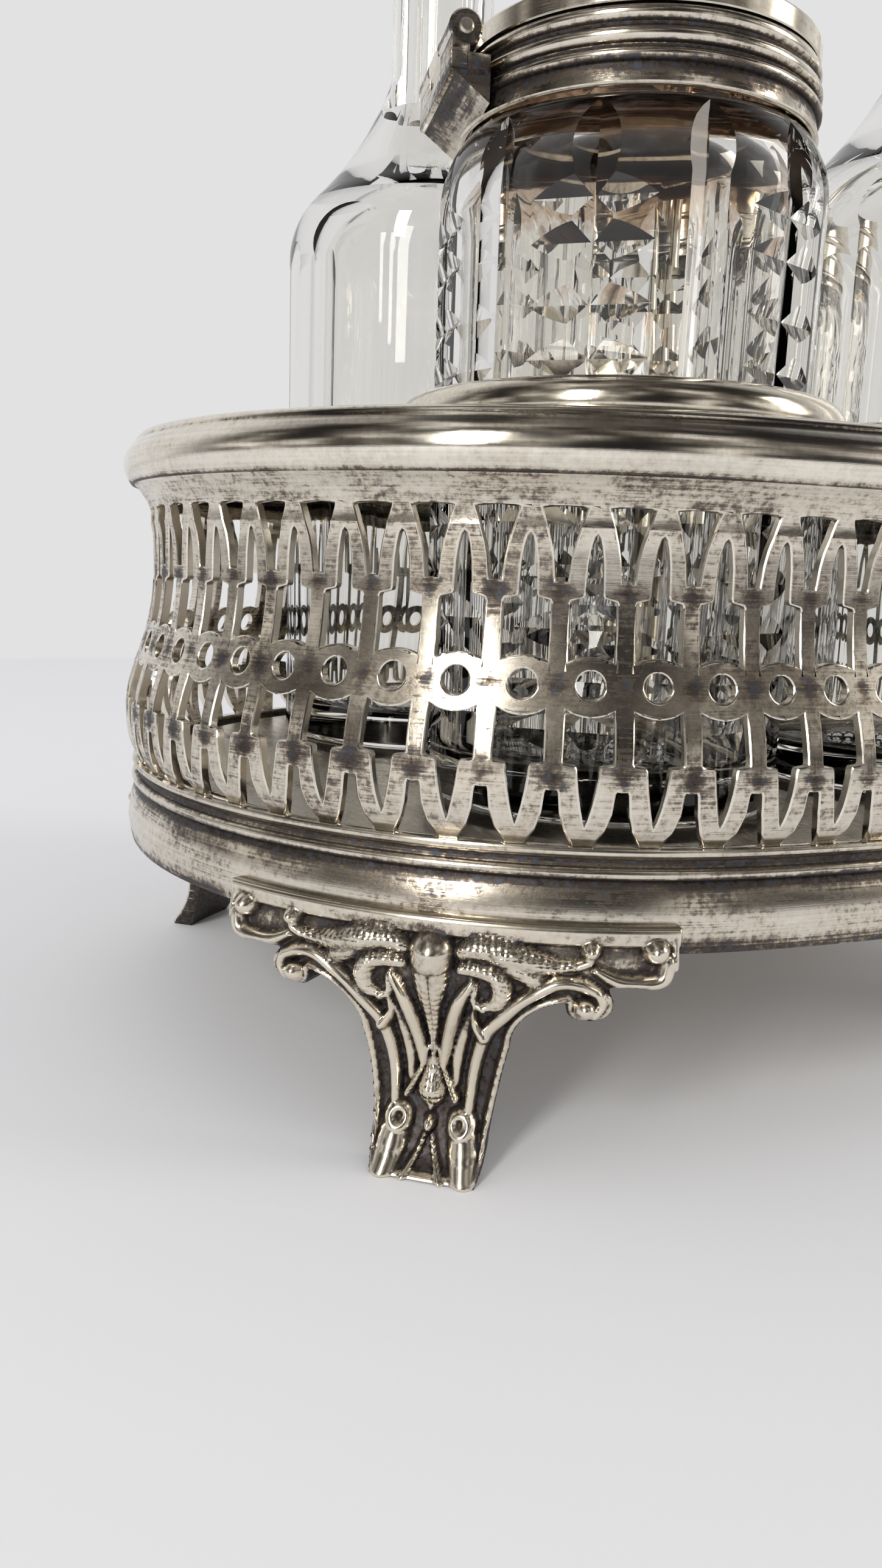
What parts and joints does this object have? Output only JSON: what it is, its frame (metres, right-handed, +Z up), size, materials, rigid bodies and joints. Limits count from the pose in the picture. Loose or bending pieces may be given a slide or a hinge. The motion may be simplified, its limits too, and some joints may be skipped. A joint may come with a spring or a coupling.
{
  "type": "cruet set",
  "caption": "Footed oval cruet stand with a pierced gallery and loop handle, carrying a lidded mustard pot, stoppered cut-glass oil and vinegar bottles and a pepper caster.",
  "frame": {"origin": "centre of the stand on the surface it rests on", "axes": "+Z up, X along the oval, -Y towards the front where the mustard pot (-X) and the vinegar bottle (+X) stand"},
  "size_m": [0.1838, 0.1458, 0.2578],
  "materials": {
    "silver_plate": "worn and tarnished silver plate, bright on raised edges",
    "plate_under": "dull unpolished plate",
    "cut_glass": "clear cut glass",
    "pin_steel": "plain"
  },
  "bodies": {
    "stand": {"base_moulding": "silver_plate", "floor_plate": "plate_under", "gallery_left_end": "silver_plate", "gallery_right_end": "silver_plate", "gallery_front": "silver_plate", "gallery_back": "silver_plate", "top_rim": "silver_plate", "top_plate": "plate_under", "ring_front_left": "silver_plate", "ring_front_right": "silver_plate", "ring_back_left": "silver_plate", "ring_back_right": "silver_plate", "foot_front_left": "silver_plate", "foot_front_right": "silver_plate", "foot_back_left": "silver_plate", "foot_back_right": "silver_plate", "handle_stem": "silver_plate", "handle_loop": "silver_plate", "handle_collar": "silver_plate", "handle_nut": "plate_under"},
    "mustard_pot": {"mustard_glass": "cut_glass", "mustard_collar": "silver_plate", "mustard_hinge_pin": "pin_steel"},
    "mustard_lid": {"mustard_lid": "silver_plate"},
    "oil_bottle": {"oil_bottle": "cut_glass"},
    "oil_stopper": {"oil_stopper": "cut_glass"},
    "vinegar_bottle": {"vinegar_bottle": "cut_glass"},
    "vinegar_stopper": {"vinegar_stopper": "cut_glass"},
    "pepper_pot": {"pepper_glass": "cut_glass", "pepper_collar": "silver_plate"},
    "pepper_cap": {"pepper_cap": "silver_plate"}
  },
  "joints": [
    {"name": "mustard_lift", "type": "slide", "parent": "stand", "child": "mustard_pot", "axis": [0, 0, 1], "range_m": [0, 0.06]},
    {"name": "mustard_lid_hinge", "type": "hinge", "parent": "mustard_pot", "child": "mustard_lid", "pos_m": [-0.05532, -0.02385, 0.137], "axis": [-0.2588, -0.9659, 0], "range_deg": [0, 100]},
    {"name": "oil_lift", "type": "slide", "parent": "stand", "child": "oil_bottle", "axis": [0, 0, 1], "range_m": [0, 0.06]},
    {"name": "oil_stopper_lift", "type": "slide", "parent": "oil_bottle", "child": "oil_stopper", "axis": [0, 0, 1], "range_m": [0, 0.026]},
    {"name": "vinegar_lift", "type": "slide", "parent": "stand", "child": "vinegar_bottle", "axis": [0, 0, 1], "range_m": [0, 0.06]},
    {"name": "vinegar_stopper_lift", "type": "slide", "parent": "vinegar_bottle", "child": "vinegar_stopper", "axis": [0, 0, 1], "range_m": [0, 0.026]},
    {"name": "pepper_lift", "type": "slide", "parent": "stand", "child": "pepper_pot", "axis": [0, 0, 1], "range_m": [0, 0.06]},
    {"name": "pepper_cap_lift", "type": "slide", "parent": "pepper_pot", "child": "pepper_cap", "axis": [0, 0, 1], "range_m": [0, 0.016]}
  ]
}
